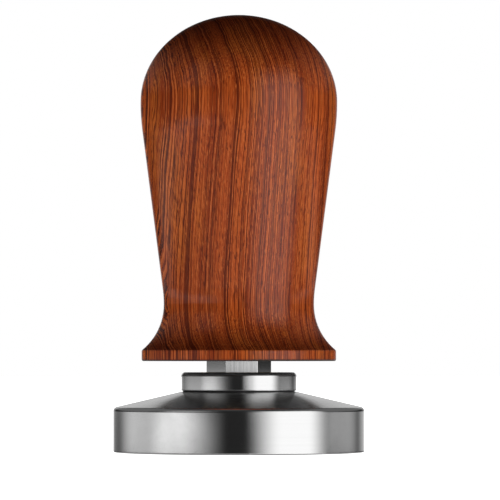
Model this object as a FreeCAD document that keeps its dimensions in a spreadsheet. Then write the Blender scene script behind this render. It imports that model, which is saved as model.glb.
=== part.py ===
import FreeCAD, Part
import math
import os
import re

import Sketcher

# Spring-loaded espresso tamper, in millimetres.
#
# The origin is the centre of the tamping face, +Z up. The foot (base, collar and hexagonal stem) stands
# on the coffee. The grip (wooden handle with a steel housing inside) slides down the stem against a
# pre-loaded spring until it meets the collar, which is how the barista feels that the load is reached.

# ---------------------------------------------------------------- driving sizes
SIZES = [
    # foot
    ("base_diameter", 58.0, "fits a 58 mm filter basket"),
    ("rim_height", 10.3, "straight wall of the base"),
    ("base_height", 14.0, "tamping face to the collar's seat"),
    ("rim_round", 1.0, "rounding above the straight wall"),
    ("face_round", 0.4, "rounding around the tamping face"),
    ("base_tap_depth", 9.5, "tapped hole in the base"),
    ("gasket_thickness", 0.2, "black seal under the collar"),
    ("gasket_inset", 0.4, "collar's edge to the seal's edge"),
    ("collar_diameter", 26.6, "ring that the grip comes down on"),
    ("collar_height", 4.25, "ring that the grip comes down on"),
    ("collar_round", 0.9, "upper edge of the collar"),
    ("collar_under_round", 0.2, "lower edge of the collar"),
    # stem
    ("stem_across_flats", 13.0, "hexagonal bar"),
    ("stem_edge_round", 0.2, "long edges of the bar"),
    ("stem_end_chamfer", 0.9, "how far the turned end comes in from the corners"),
    ("spigot_diameter", 10.0, "through the collar"),
    ("stem_thread", 8.0, "M8 end in the base"),
    ("stem_thread_length", 9.0, "M8 end in the base"),
    ("stem_tap_depth", 14.0, "M6 hole in the top of the stem"),
    # stop at the top of the stem
    ("stop_washer_thickness", 2.0, "carries the spring and holds the grip on"),
    ("lock_washer_diameter", 9.9, "split washer"),
    ("lock_washer_thickness", 1.6, "split washer"),
    ("lock_washer_gap", 9.0, "degrees of the split"),
    ("stop_screw_thread", 6.0, "M6 socket screw"),
    ("stop_screw_length", 16.0, "under the head"),
    ("stop_screw_head", 10.0, "head's diameter"),
    ("stop_screw_head_height", 6.0, "head's height"),
    ("stop_screw_socket", 5.0, "across flats of the key"),
    ("stop_screw_socket_depth", 3.0, "depth of the key's socket"),
    ("stop_screw_head_chamfer", 0.4, "upper edge of the head"),
    ("stop_screw_end_chamfer", 0.6, "end of the thread"),
    # spring
    ("spring_wire", 2.3, "round wire"),
    ("spring_length", 27.0, "as fitted, under its pre-load"),
    ("spring_active_turns", 7.0, "turns between the two closed ends"),
    ("spring_side_gap", 0.8, "spring to the housing's bore"),
    # guide nut and its bumper
    ("nut_wall", 2.45, "corner of the hexagonal hole to the thread"),
    ("nut_length", 16.0, "guide for the stem"),
    ("nut_recess", 0.3, "below the housing's lower face"),
    ("nut_chamfer", 0.6, "ends of the thread"),
    ("spanner_hole", 2.2, "two holes for a pin spanner"),
    ("spanner_hole_depth", 3.0, "two holes for a pin spanner"),
    ("bumper_thickness", 1.0, "softens the grip's return"),
    ("bumper_side_gap", 0.2, "bumper to stem and to bore"),
    # housing
    ("thread_step", 0.5, "tapped ends are this much larger, each side, than the bore"),
    ("tube_wall", 1.45, "beside the tapped ends"),
    ("flange_thickness", 2.0, "let into the handle"),
    ("flange_margin", 0.9, "screw heads to the flange's edge"),
    ("housing_end", 1.5, "tube above the lock ring"),
    ("screw_inset", 2.9, "tube to the screws' centre line"),
    ("screw_thread", 2.9, "wood screws"),
    ("screw_head", 5.4, "countersunk head"),
    ("screw_length", 10.0, "with the head"),
    ("screw_point", 2.2, "tapered end"),
    ("screw_slot_width", 0.7, "cross recess"),
    ("screw_slot_length", 3.0, "cross recess"),
    ("screw_slot_depth", 0.9, "cross recess"),
    # what closes the top of the housing
    ("seat_thickness", 2.0, "spring's upper seat"),
    ("seat_pilot_height", 2.0, "centres the spring"),
    ("seat_pilot_gap", 0.3, "pilot to the inside of the spring"),
    ("seat_hole", 5.0, "middle of the seat"),
    ("plug_length", 5.0, "screw plug that sets the pre-load"),
    ("plug_socket", 10.0, "across flats of the key"),
    ("lock_ring_length", 2.5, "locks the plug"),
    ("lock_ring_hole", 12.0, "lets the key through to the plug"),
    ("lock_ring_slot", 3.0, "width of the driving slot"),
    ("lock_ring_slot_depth", 1.0, "depth of the driving slot"),
    # wooden handle
    ("handle_length", 80.0, "lower face to crown"),
    ("handle_foot_diameter", 44.9, "flange at the bottom of the handle"),
    ("handle_foot_band", 2.45, "straight edge of that flange"),
    ("handle_foot_round", 0.4, "edges of that flange"),
    ("waist_diameter", 34.7, "narrowest"),
    ("waist_height", 13.07, "lower face to the waist"),
    ("waist_radius", 27.0, "curve above the waist"),
    ("belly_diameter", 45.5, "widest"),
    ("belly_radius", 52.0, "curve below the belly"),
    ("dome_height", 20.14, "belly to crown"),
    ("bore_end_gap", 0.5, "wood above the housing"),
    ("pilot_extra", 0.6, "pilot holes past the screws' points"),
    # gaps and clearances
    ("travel_gap", 2.6, "collar to grip when nobody presses"),
    ("thread_clearance", 0.05, "screwed joints, each side"),
    ("spigot_clearance", 0.05, "spigot in the collar, each side"),
    ("guide_clearance", 0.05, "stem in the guide nut, each side"),
    ("housing_clearance", 0.1, "housing in the wood, each side"),
    ("stop_side_gap", 0.3, "stop washer to the bore, each side"),
    ("seat_side_gap", 0.15, "spring seat to the bore, each side"),
    ("washer_clearance", 0.15, "washers round the stop screw, each side"),
    ("drill_slope", 0.6, "rise of a drilled hole's end for its radius"),
]

# Sizes and levels that follow from the driving ones, as formulas on the sheet's names.
COLLAR_LEVEL = "base_height + gasket_thickness"
STEM_LEVEL = f"{COLLAR_LEVEL} + collar_height"
HANDLE_LEVEL = f"{STEM_LEVEL} + travel_gap"
NUT_LEVEL = f"{HANDLE_LEVEL} + nut_recess"
BUMPER_LEVEL = f"{NUT_LEVEL} + nut_length"
STOP_LEVEL = f"{BUMPER_LEVEL} + bumper_thickness"
SPRING_LEVEL = f"{STOP_LEVEL} + stop_washer_thickness"
STOP_HEAD_LEVEL = f"{SPRING_LEVEL} + lock_washer_thickness"
SEAT_LEVEL = f"{SPRING_LEVEL} + spring_length"
PLUG_LEVEL = f"{SEAT_LEVEL} + seat_thickness"
LOCK_RING_LEVEL = f"{PLUG_LEVEL} + plug_length"
HOUSING_LENGTH = f"({LOCK_RING_LEVEL} + lock_ring_length + housing_end - ({HANDLE_LEVEL}))"

STEM_CORNER = "(stem_across_flats / sqrt(3))"
NUT_RADIUS = f"(({STEM_CORNER} + guide_clearance * 2 / sqrt(3)) + nut_wall)"
TAPPED_RADIUS = f"({NUT_RADIUS} + thread_clearance)"
BORE_RADIUS = f"({TAPPED_RADIUS} - thread_step)"
TUBE_RADIUS = f"({TAPPED_RADIUS} + tube_wall)"
SCREW_CIRCLE = f"({TUBE_RADIUS} + screw_inset)"
FLANGE_RADIUS = f"({SCREW_CIRCLE} + screw_head / 2 + flange_margin)"
SPRING_OUTER = f"({BORE_RADIUS} - spring_side_gap)"
SPRING_INNER = f"({SPRING_OUTER} - spring_wire)"

SCREW_COUNT = 3
SPANNER_HOLES = 2
CLOSE_WINDING = 1.02        # pitch of the closed end turns, in wire diameters
END_TURNS = 1.0             # closed turns at each end of the spring
BLEND_TURNS = 0.5           # over which the winding opens up
STEPS_PER_TURN = 8
TOLERANCE = 1e-4

doc = FreeCAD.newDocument("espresso_tamper")
sheet = doc.addObject("Spreadsheet::Sheet", "sizes")
for row, (alias, number, note) in enumerate(SIZES, start=1):
    sheet.set(f"A{row}", alias)
    sheet.set(f"B{row}", str(number))
    sheet.setAlias(f"B{row}", alias)
    sheet.set(f"C{row}", note)
doc.recompute()


# ---------------------------------------------------------------- helpers
def on_sheet(formula):
    """The formula with every size's name pointed at its cell; each name has an underscore."""
    return re.sub(r"\b[a-z]+_\w+\b", r"sizes.\g<0>", formula)


def value(formula):
    """What a formula comes to with the sheet as it stands."""
    return float(sheet.evalExpression(on_sheet(formula)))


def bind(thing, name, formula):
    thing.setExpression(name, on_sheet(formula))


def new_body(name, level):
    """An empty body whose own origin stands on the tamper's axis at this level."""
    body = doc.addObject("PartDesign::Body", name)
    body.Label = name
    bind(body, "Placement.Base.z", level)
    return body


def origin_item(body, role):
    """One of the planes or axes of the body's own origin, such as XZ_Plane or Z_Axis."""
    return [item for item in body.Origin.OriginFeatures if item.Role == role][0]


def new_sketch(body, name, plane, height="0"):
    """A sketch on one of the body's own origin planes, lifted along Z where a height is given."""
    sketch = body.newObject("Sketcher::SketchObject", f"{body.Name}_{name}")
    sketch.AttachmentSupport = [(origin_item(body, plane), "")]
    sketch.MapMode = "FlatFace"
    if height != "0":
        bind(sketch, "AttachmentOffset.Base.z", height)
    return sketch


def constrain(sketch, kind, *arguments, formula=None):
    """Add a constraint; a dimension is bound to its formula."""
    if formula is None:
        return sketch.addConstraint(Sketcher.Constraint(kind, *arguments))
    index = sketch.addConstraint(Sketcher.Constraint(kind, *arguments, value(formula)))
    bind(sketch, f"Constraints[{index}]", formula)
    return index


def pin_point(sketch, geometry, end, across, up):
    """Dimension one end of a line from the sketch's origin, or put it on the axis it lies on."""
    if across == "0" and up == "0":
        constrain(sketch, "Coincident", geometry, end, -1, 1)
        return
    if across == "0":
        constrain(sketch, "PointOnObject", geometry, end, -2)
    else:
        constrain(sketch, "DistanceX", -1, 1, geometry, end, formula=across)
    if up == "0":
        constrain(sketch, "PointOnObject", geometry, end, -1)
    else:
        constrain(sketch, "DistanceY", -1, 1, geometry, end, formula=up)


def draw_outline(sketch, corners):
    """A closed outline of straight lines through the corners, each an (across, up) pair of formulas."""
    points = [FreeCAD.Vector(value(across), value(up), 0) for across, up in corners]
    lines = []
    for start, end in zip(points, points[1:] + points[:1]):
        lines.append(sketch.addGeometry(Part.LineSegment(start, end), False))
    for line, following in zip(lines, lines[1:] + lines[:1]):
        constrain(sketch, "Coincident", line, 2, following, 1)
    for line, (across, up) in zip(lines, corners):
        pin_point(sketch, line, 1, across, up)


def draw_circle(sketch, radius, across="0", up="0"):
    centre = FreeCAD.Vector(value(across), value(up), 0)
    circle = sketch.addGeometry(Part.Circle(centre, FreeCAD.Vector(0, 0, 1), value(radius)), False)
    constrain(sketch, "Radius", circle, formula=radius)
    pin_point(sketch, circle, 3, across, up)


def draw_hexagon(sketch, corner_radius):
    """A regular hexagon about the origin, with a corner on the sketch's first axis."""
    radius = value(corner_radius)
    angles = [math.radians(60 * corner) for corner in range(6)]
    corners = [FreeCAD.Vector(radius * math.cos(angle), radius * math.sin(angle), 0) for angle in angles]
    lines = []
    for start, end in zip(corners, corners[1:] + corners[:1]):
        lines.append(sketch.addGeometry(Part.LineSegment(start, end), False))
    ring = sketch.addGeometry(Part.Circle(FreeCAD.Vector(0, 0, 0), FreeCAD.Vector(0, 0, 1), radius), True)
    constrain(sketch, "Coincident", ring, 3, -1, 1)
    for line, following in zip(lines, lines[1:] + lines[:1]):
        constrain(sketch, "Coincident", line, 2, following, 1)
        constrain(sketch, "PointOnObject", line, 2, ring)
    for line in lines[1:]:
        constrain(sketch, "Equal", lines[0], line)
    constrain(sketch, "PointOnObject", lines[0], 1, -1)
    constrain(sketch, "DistanceX", -1, 1, lines[0], 1, formula=corner_radius)


def finish_feature(body, feature, takes_away=False):
    """Recompute, make the feature the body's tip, and see that a cut did remove something."""
    before = body.Tip.Shape.Volume if takes_away else 0
    body.Tip = feature
    doc.recompute()
    if takes_away and not feature.Shape.Volume < before - TOLERANCE:
        raise RuntimeError(f"{feature.Name} removes nothing")
    return feature


def turn(body, name, corners, angle="360"):
    """Turn an outline about the body's Z axis."""
    sketch = new_sketch(body, f"{name}_outline", "XZ_Plane")
    draw_outline(sketch, corners)
    feature = body.newObject("PartDesign::Revolution", f"{body.Name}_{name}")
    feature.Profile = sketch
    feature.ReferenceAxis = (sketch, ["V_Axis"])
    bind(feature, "Angle", angle)
    return finish_feature(body, feature)


def bore(body, name, corners):
    """Take away what an outline sweeps as it turns about the body's Z axis."""
    before = body.Tip
    sketch = new_sketch(body, f"{name}_outline", "XZ_Plane")
    draw_outline(sketch, corners)
    feature = body.newObject("PartDesign::Groove", f"{body.Name}_{name}")
    feature.Profile = sketch
    feature.ReferenceAxis = (sketch, ["V_Axis"])
    feature.Angle = 360
    body.Tip = before
    return finish_feature(body, feature, takes_away=True)


def pad(body, sketch, length):
    feature = body.newObject("PartDesign::Pad", f"{sketch.Name}_pad")
    feature.Profile = sketch
    bind(feature, "Length", length)
    return finish_feature(body, feature)


def pocket(body, sketch, depth, upwards):
    """Cut a sketch's shape into the body, towards +Z or towards -Z."""
    before = body.Tip
    feature = body.newObject("PartDesign::Pocket", f"{sketch.Name}_pocket")
    feature.Profile = sketch
    feature.Reversed = upwards
    bind(feature, "Length", depth)
    body.Tip = before
    return finish_feature(body, feature, takes_away=True)


def repeat_round(body, feature, count, angle=360):
    """Repeat a feature about the body's Z axis."""
    before = body.Tip
    pattern = body.newObject("PartDesign::PolarPattern", f"{feature.Name}_pattern")
    pattern.Originals = [feature]
    pattern.Axis = (origin_item(body, "Z_Axis"), [""])
    pattern.Angle = angle
    pattern.Occurrences = count
    body.Tip = before
    return finish_feature(body, pattern, takes_away=True)


def ring_edges(body, radius, height):
    """Names of the body's circular edges with this radius at this height."""
    wanted = []
    for number, edge in enumerate(body.Tip.Shape.Edges, start=1):
        if not isinstance(edge.Curve, Part.Circle):
            continue
        same_radius = abs(edge.Curve.Radius - value(radius)) < TOLERANCE
        same_height = abs(edge.Curve.Center.z - value(height)) < TOLERANCE
        if same_radius and same_height:
            wanted.append(f"Edge{number}")
    if not wanted:
        raise RuntimeError(f"{body.Name} has no round edge of radius {radius} at {height}")
    return wanted


def dress_edges(body, kind, name, edges, size):
    """Round (Fillet) or break (Chamfer) the named edges of the body's tip."""
    base = body.Tip
    feature = body.newObject(f"PartDesign::{kind}", f"{body.Name}_{name}")
    feature.Base = (base, edges)
    bind(feature, "Radius" if kind == "Fillet" else "Size", size)
    return finish_feature(body, feature)


def washer(name, level, inner, outer, thickness, angle="360"):
    """A flat ring, whole or split."""
    body = new_body(name, level)
    turn(body, "ring", [(inner, "0"), (outer, "0"), (outer, thickness), (inner, thickness)], angle)
    return body


# ---------------------------------------------------------------- foot
def make_base():
    """Solid steel disc: straight wall, shallow cone up to the collar's seat, tapped hole for the stem."""
    body = new_body("base", "0")
    tap = "(stem_thread / 2 + thread_clearance)"
    tap_end = "base_height - base_tap_depth"
    turn(body, "disc", [
        ("0", "0"),
        ("base_diameter / 2", "0"),
        ("base_diameter / 2", "rim_height"),
        ("collar_diameter / 2", "base_height"),
        (tap, "base_height"),
        (tap, tap_end),
        ("0", f"{tap_end} - {tap} * drill_slope"),
    ])
    dress_edges(body, "Fillet", "rim", ring_edges(body, "base_diameter / 2", "rim_height"), "rim_round")
    dress_edges(body, "Fillet", "face", ring_edges(body, "base_diameter / 2", "0"), "face_round")
    return body


def make_collar_gasket():
    """Thin black ring that seals the collar's seat; its edge shows as a dark line."""
    inner = "spigot_diameter / 2 + washer_clearance"
    outer = "collar_diameter / 2 - gasket_inset"
    return washer("collar_gasket", "base_height", inner, outer, "gasket_thickness")


def make_collar():
    """Polished ring clamped between the stem's shoulder and the base; the grip stops on it."""
    inner = "spigot_diameter / 2 + spigot_clearance"
    body = washer("collar", COLLAR_LEVEL, inner, "collar_diameter / 2", "collar_height")
    top_edge = ring_edges(body, "collar_diameter / 2", "collar_height")
    dress_edges(body, "Fillet", "top", top_edge, "collar_round")
    lower_edge = ring_edges(body, "collar_diameter / 2", "0")
    dress_edges(body, "Fillet", "underside", lower_edge, "collar_under_round")
    return body


def make_stem():
    """Hexagonal bar with a turned spigot and an M8 end below, and an M6 hole in its top."""
    body = new_body("stem", "base_height - stem_thread_length")
    shoulder = "(stem_thread_length + gasket_thickness + collar_height)"
    length = "(travel_gap + nut_recess + nut_length + bumper_thickness)"
    top = f"{shoulder} + {length}"
    turn(body, "spigot", [
        ("0", "0"),
        ("stem_thread / 2", "0"),
        ("stem_thread / 2", "stem_thread_length"),
        ("spigot_diameter / 2", "stem_thread_length"),
        ("spigot_diameter / 2", shoulder),
        ("0", shoulder),
    ])
    section = new_sketch(body, "hexagon", "XY_Plane", shoulder)
    draw_hexagon(section, STEM_CORNER)
    bar = pad(body, section, length)
    corner = value(STEM_CORNER)
    long_edges = [
        f"Edge{number}"
        for number, edge in enumerate(bar.Shape.Edges, start=1)
        if isinstance(edge.Curve, Part.Line)
        and abs(edge.tangentAt(edge.FirstParameter).z) > 1 - TOLERANCE
        and abs(math.hypot(edge.Vertexes[0].X, edge.Vertexes[0].Y) - corner) < TOLERANCE
    ]
    dress_edges(body, "Fillet", "long_edges", long_edges, "stem_edge_round")
    bore(body, "end_chamfer", [
        (f"{STEM_CORNER} - stem_end_chamfer", top),
        (f"{STEM_CORNER} + stem_end_chamfer", f"{top} - 2 * stem_end_chamfer * drill_slope"),
        (f"{STEM_CORNER} + stem_end_chamfer", top),
    ])
    tap = "(stop_screw_thread / 2 + thread_clearance)"
    bore(body, "tapped_hole", [
        ("0", top),
        (tap, top),
        (tap, f"{top} - stem_tap_depth"),
        ("0", f"{top} - stem_tap_depth - {tap} * drill_slope"),
    ])
    return body


def make_stop_washer():
    """Thick washer on top of the stem: the grip hangs on it, and the spring stands on it."""
    inner = "stop_screw_thread / 2 + washer_clearance"
    return washer("stop_washer", STOP_LEVEL, inner, f"{BORE_RADIUS} - stop_side_gap", "stop_washer_thickness")


def make_lock_washer():
    """Split washer under the stop screw's head."""
    inner = "stop_screw_thread / 2 + thread_clearance"
    outer = "lock_washer_diameter / 2"
    return washer("lock_washer", SPRING_LEVEL, inner, outer, "lock_washer_thickness", "360 - lock_washer_gap")


def make_stop_screw():
    """M6 socket screw that holds the stop washer on the stem."""
    body = new_body("stop_screw", f"{STOP_HEAD_LEVEL} - stop_screw_length")
    top = "(stop_screw_length + stop_screw_head_height)"
    turn(body, "blank", [
        ("0", "0"),
        ("stop_screw_thread / 2", "0"),
        ("stop_screw_thread / 2", "stop_screw_length"),
        ("stop_screw_head / 2", "stop_screw_length"),
        ("stop_screw_head / 2", top),
        ("0", top),
    ])
    key = new_sketch(body, "socket", "XY_Plane", top)
    draw_hexagon(key, "stop_screw_socket / sqrt(3)")
    pocket(body, key, "stop_screw_socket_depth", upwards=False)
    head_edge = ring_edges(body, "stop_screw_head / 2", top)
    dress_edges(body, "Chamfer", "head", head_edge, "stop_screw_head_chamfer")
    end_edge = ring_edges(body, "stop_screw_thread / 2", "0")
    dress_edges(body, "Chamfer", "end", end_edge, "stop_screw_end_chamfer")
    return body


def opened_up(turns):
    """Turns wound at the open pitch so far, where the winding opens smoothly from zero."""
    share = min(max(turns / BLEND_TURNS, 0), 1)
    return BLEND_TURNS * (share**3 - share**4 / 2) + max(turns - BLEND_TURNS, 0)


def make_spring():
    """Compression spring with closed, ground ends: a round wire swept along its winding."""
    wire = value("spring_wire")
    radius = value(f"{SPRING_OUTER} - spring_wire / 2")
    length = value("spring_length")
    active = value("spring_active_turns")
    turns = active + 2 * END_TURNS
    opens_at = END_TURNS - BLEND_TURNS / 2
    closes_at = opens_at + active
    closed_pitch = CLOSE_WINDING * wire
    open_pitch = closed_pitch + (length - closed_pitch * turns) / active
    points = []
    for step in range(round(turns * STEPS_PER_TURN) + 1):
        wound = step / STEPS_PER_TURN
        at_open_pitch = opened_up(wound - opens_at) - opened_up(wound - closes_at)
        height = closed_pitch * wound + (open_pitch - closed_pitch) * at_open_pitch
        angle = 2 * math.pi * wound
        points.append(FreeCAD.Vector(radius * math.cos(angle), radius * math.sin(angle), height))
    winding = Part.BSplineCurve()
    winding.interpolate(points)
    start = Part.Circle(points[0], winding.tangent(winding.FirstParameter)[0], wire / 2)
    coil = Part.Wire([winding.toShape()]).makePipeShell([Part.Wire([start.toShape()])], True, True)
    between_faces = Part.makeCylinder(2 * radius, length)
    spring = doc.addObject("Part::Feature", "spring")
    spring.Label = "spring"
    spring.Shape = coil.common(between_faces)
    spring.Placement = FreeCAD.Placement(FreeCAD.Vector(0, 0, value(SPRING_LEVEL)), FreeCAD.Rotation())
    print(f"spring: open pitch {open_pitch:.3f}, {turns:g} turns")
    return spring


# ---------------------------------------------------------------- grip
def tangent_line(waist, belly):
    """The two points where the straight side leaves the waist's curve and joins the belly's."""
    up = belly["height"] - waist["height"]
    across = waist["curve"] + belly["curve"] - (belly["radius"] - waist["radius"])
    lean = math.asin((waist["curve"] + belly["curve"]) / math.hypot(up, across)) - math.atan2(across, up)
    leaves = FreeCAD.Vector(
        waist["radius"] + waist["curve"] * (1 - math.cos(lean)),
        waist["height"] + waist["curve"] * math.sin(lean), 0)
    joins = FreeCAD.Vector(
        belly["radius"] - belly["curve"] * (1 - math.cos(lean)),
        belly["height"] - belly["curve"] * math.sin(lean), 0)
    return leaves, joins


def arc_between(centre, start, end):
    """The anticlockwise arc from start to end."""
    circle = Part.Circle(centre, FreeCAD.Vector(0, 0, 1), (start - centre).Length)
    return Part.ArcOfCircle(circle, circle.parameter(start), circle.parameter(end))


def draw_handle_outline(sketch):
    """Half section of the wood up to the belly: flange, flare, waist, straight side and belly curve."""
    foot = value("handle_foot_diameter / 2")
    band = value("handle_foot_band")
    waist = {
        "radius": value("waist_diameter / 2"),
        "height": value("waist_height"),
        "curve": value("waist_radius"),
    }
    belly = {
        "radius": value("belly_diameter / 2"),
        "height": value("handle_length - dome_height"),
        "curve": value("belly_radius"),
    }
    flare_in = foot - waist["radius"]
    flare_up = waist["height"] - band
    flare_radius = (flare_in**2 + flare_up**2) / (2 * flare_in)
    vector = FreeCAD.Vector
    centre_foot = vector(0, 0, 0)
    foot_edge = vector(foot, 0, 0)
    band_top = vector(foot, band, 0)
    waist_point = vector(waist["radius"], waist["height"], 0)
    leaves, joins = tangent_line(waist, belly)
    belly_point = vector(belly["radius"], belly["height"], 0)
    belly_centre = vector(0, belly["height"], 0)
    flare_centre = vector(waist["radius"] + flare_radius, waist["height"], 0)
    waist_centre = vector(waist["radius"] + waist["curve"], waist["height"], 0)
    side_centre = vector(belly["radius"] - belly["curve"], belly["height"], 0)

    underside = sketch.addGeometry(Part.LineSegment(centre_foot, foot_edge), False)
    edge = sketch.addGeometry(Part.LineSegment(foot_edge, band_top), False)
    flare = sketch.addGeometry(arc_between(flare_centre, waist_point, band_top), False)
    hollow = sketch.addGeometry(arc_between(waist_centre, leaves, waist_point), False)
    side = sketch.addGeometry(Part.LineSegment(leaves, joins), False)
    swell = sketch.addGeometry(arc_between(side_centre, joins, belly_point), False)
    top = sketch.addGeometry(Part.LineSegment(belly_point, belly_centre), False)
    axis = sketch.addGeometry(Part.LineSegment(belly_centre, centre_foot), False)

    for first, end, second, start in (
        (underside, 2, edge, 1), (edge, 2, flare, 2), (flare, 1, hollow, 2),
        (swell, 2, top, 1), (top, 2, axis, 1), (axis, 2, underside, 1),
    ):
        constrain(sketch, "Coincident", first, end, second, start)
    constrain(sketch, "Tangent", hollow, 1, side, 1)
    constrain(sketch, "Tangent", side, 2, swell, 1)
    constrain(sketch, "Horizontal", flare, 3, flare, 1)
    constrain(sketch, "Horizontal", hollow, 3, hollow, 2)
    constrain(sketch, "Horizontal", swell, 3, swell, 2)
    constrain(sketch, "Horizontal", top)
    constrain(sketch, "Coincident", underside, 1, -1, 1)
    constrain(sketch, "Horizontal", underside)
    constrain(sketch, "Vertical", edge)
    constrain(sketch, "PointOnObject", axis, 1, -2)
    constrain(sketch, "DistanceX", -1, 1, underside, 2, formula="handle_foot_diameter / 2")
    constrain(sketch, "DistanceY", -1, 1, edge, 2, formula="handle_foot_band")
    pin_point(sketch, flare, 1, "waist_diameter / 2", "waist_height")
    pin_point(sketch, swell, 2, "belly_diameter / 2", "handle_length - dome_height")
    constrain(sketch, "Radius", hollow, formula="waist_radius")
    constrain(sketch, "Radius", swell, formula="belly_radius")


def make_handle():
    """Turned hardwood, bored from below for the housing, with pilot holes for its screws."""
    body = new_body("handle", HANDLE_LEVEL)
    outline = new_sketch(body, "outline", "XZ_Plane")
    draw_handle_outline(outline)
    lower = body.newObject("PartDesign::Revolution", "handle_lower")
    lower.Profile = outline
    lower.ReferenceAxis = (outline, ["V_Axis"])
    lower.Angle = 360
    finish_feature(body, lower)
    edges = ring_edges(body, "handle_foot_diameter / 2", "0")
    edges += ring_edges(body, "handle_foot_diameter / 2", "handle_foot_band")
    dress_edges(body, "Fillet", "foot_edges", edges, "handle_foot_round")
    dome = body.newObject("PartDesign::AdditiveEllipsoid", "handle_dome")
    bind(dome, "Radius1", "dome_height")
    bind(dome, "Radius2", "belly_diameter / 2")
    bind(dome, "Radius3", "belly_diameter / 2")
    dome.Angle1 = 0
    dome.Angle2 = 90
    dome.AttachmentSupport = [(origin_item(body, "XY_Plane"), "")]
    dome.MapMode = "FlatFace"
    bind(dome, "AttachmentOffset.Base.z", "handle_length - dome_height")
    finish_feature(body, dome)
    recess = f"{FLANGE_RADIUS} + housing_clearance"
    tunnel = f"{TUBE_RADIUS} + housing_clearance"
    bore(body, "bore", [
        ("0", "0"),
        (recess, "0"),
        (recess, "flange_thickness"),
        (tunnel, "flange_thickness"),
        (tunnel, f"{HOUSING_LENGTH} + bore_end_gap"),
        ("0", f"{HOUSING_LENGTH} + bore_end_gap"),
    ])
    pilot = new_sketch(body, "pilot", "XY_Plane")
    draw_circle(pilot, "screw_thread / 2 + thread_clearance", across=SCREW_CIRCLE)
    hole = pocket(body, pilot, "screw_length + pilot_extra", upwards=True)
    repeat_round(body, hole, SCREW_COUNT)
    return body


def make_spring_housing():
    """Steel tube with a screwed-on flange; tapped below for the guide nut and above for the plug."""
    body = new_body("spring_housing", HANDLE_LEVEL)
    nut_end = "nut_recess + nut_length"
    plug_start = f"{HOUSING_LENGTH} - housing_end - lock_ring_length - plug_length - thread_step"
    turn(body, "tube", [
        (TAPPED_RADIUS, "0"),
        (FLANGE_RADIUS, "0"),
        (FLANGE_RADIUS, "flange_thickness"),
        (TUBE_RADIUS, "flange_thickness"),
        (TUBE_RADIUS, HOUSING_LENGTH),
        (TAPPED_RADIUS, HOUSING_LENGTH),
        (TAPPED_RADIUS, plug_start),
        (BORE_RADIUS, plug_start),
        (BORE_RADIUS, nut_end),
        (TAPPED_RADIUS, nut_end),
    ])
    head = "screw_head / 2 + thread_clearance"
    shank = "screw_thread / 2 + thread_clearance"
    sketch = new_sketch(body, "countersink_outline", "XZ_Plane")
    draw_outline(sketch, [
        (SCREW_CIRCLE, "0"),
        (f"{SCREW_CIRCLE} + {head}", "0"),
        (f"{SCREW_CIRCLE} + {shank}", "(screw_head - screw_thread) / 2"),
        (f"{SCREW_CIRCLE} + {shank}", "flange_thickness"),
        (SCREW_CIRCLE, "flange_thickness"),
    ])
    axis_start = FreeCAD.Vector(value(SCREW_CIRCLE), 0, 0)
    axis_end = FreeCAD.Vector(value(SCREW_CIRCLE), value("flange_thickness"), 0)
    axis = sketch.addGeometry(Part.LineSegment(axis_start, axis_end), True)
    pin_point(sketch, axis, 1, SCREW_CIRCLE, "0")
    pin_point(sketch, axis, 2, SCREW_CIRCLE, "flange_thickness")
    before = body.Tip
    countersink = body.newObject("PartDesign::Groove", "spring_housing_countersink")
    countersink.Profile = sketch
    countersink.ReferenceAxis = (sketch, ["Axis0"])
    countersink.Angle = 360
    body.Tip = before
    finish_feature(body, countersink, takes_away=True)
    repeat_round(body, countersink, SCREW_COUNT)
    return body


def make_guide_nut():
    """Brass nut whose hexagonal hole guides the stem and keeps the grip from turning."""
    body = new_body("guide_nut", NUT_LEVEL)
    section = new_sketch(body, "section", "XY_Plane")
    draw_circle(section, NUT_RADIUS)
    draw_hexagon(section, "(stem_across_flats + 2 * guide_clearance) / sqrt(3)")
    pad(body, section, "nut_length")
    ends = ring_edges(body, NUT_RADIUS, "0") + ring_edges(body, NUT_RADIUS, "nut_length")
    dress_edges(body, "Chamfer", "ends", ends, "nut_chamfer")
    holes = new_sketch(body, "spanner_hole", "XY_Plane")
    midway = f"({NUT_RADIUS} + stem_across_flats / 2) / 2"
    draw_circle(holes, "spanner_hole / 2", up=midway)
    hole = pocket(body, holes, "spanner_hole_depth", upwards=True)
    repeat_round(body, hole, SPANNER_HOLES)
    return body


def make_bumper_ring():
    """Rubber ring between the guide nut and the stop washer, round the top of the stem."""
    inner = f"{STEM_CORNER} + bumper_side_gap"
    return washer("bumper_ring", BUMPER_LEVEL, inner, f"{BORE_RADIUS} - bumper_side_gap", "bumper_thickness")


def make_spring_seat():
    """Flanged disc that centres the top of the spring and lets the plug turn on it."""
    body = new_body("spring_seat", f"{SEAT_LEVEL} - seat_pilot_height")
    rim = f"{BORE_RADIUS} - seat_side_gap"
    pilot = f"{SPRING_INNER} - seat_pilot_gap"
    turn(body, "disc", [
        ("seat_hole / 2", "0"),
        (pilot, "0"),
        (pilot, "seat_pilot_height"),
        (rim, "seat_pilot_height"),
        (rim, "seat_pilot_height + seat_thickness"),
        ("seat_hole / 2", "seat_pilot_height + seat_thickness"),
    ])
    return body


def make_preload_plug():
    """Screw plug with a hexagonal socket; turning it down raises the spring's pre-load."""
    body = new_body("preload_plug", PLUG_LEVEL)
    section = new_sketch(body, "section", "XY_Plane")
    draw_circle(section, NUT_RADIUS)
    draw_hexagon(section, "plug_socket / sqrt(3)")
    pad(body, section, "plug_length")
    ends = ring_edges(body, NUT_RADIUS, "0") + ring_edges(body, NUT_RADIUS, "plug_length")
    dress_edges(body, "Chamfer", "ends", ends, "nut_chamfer")
    return body


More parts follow.
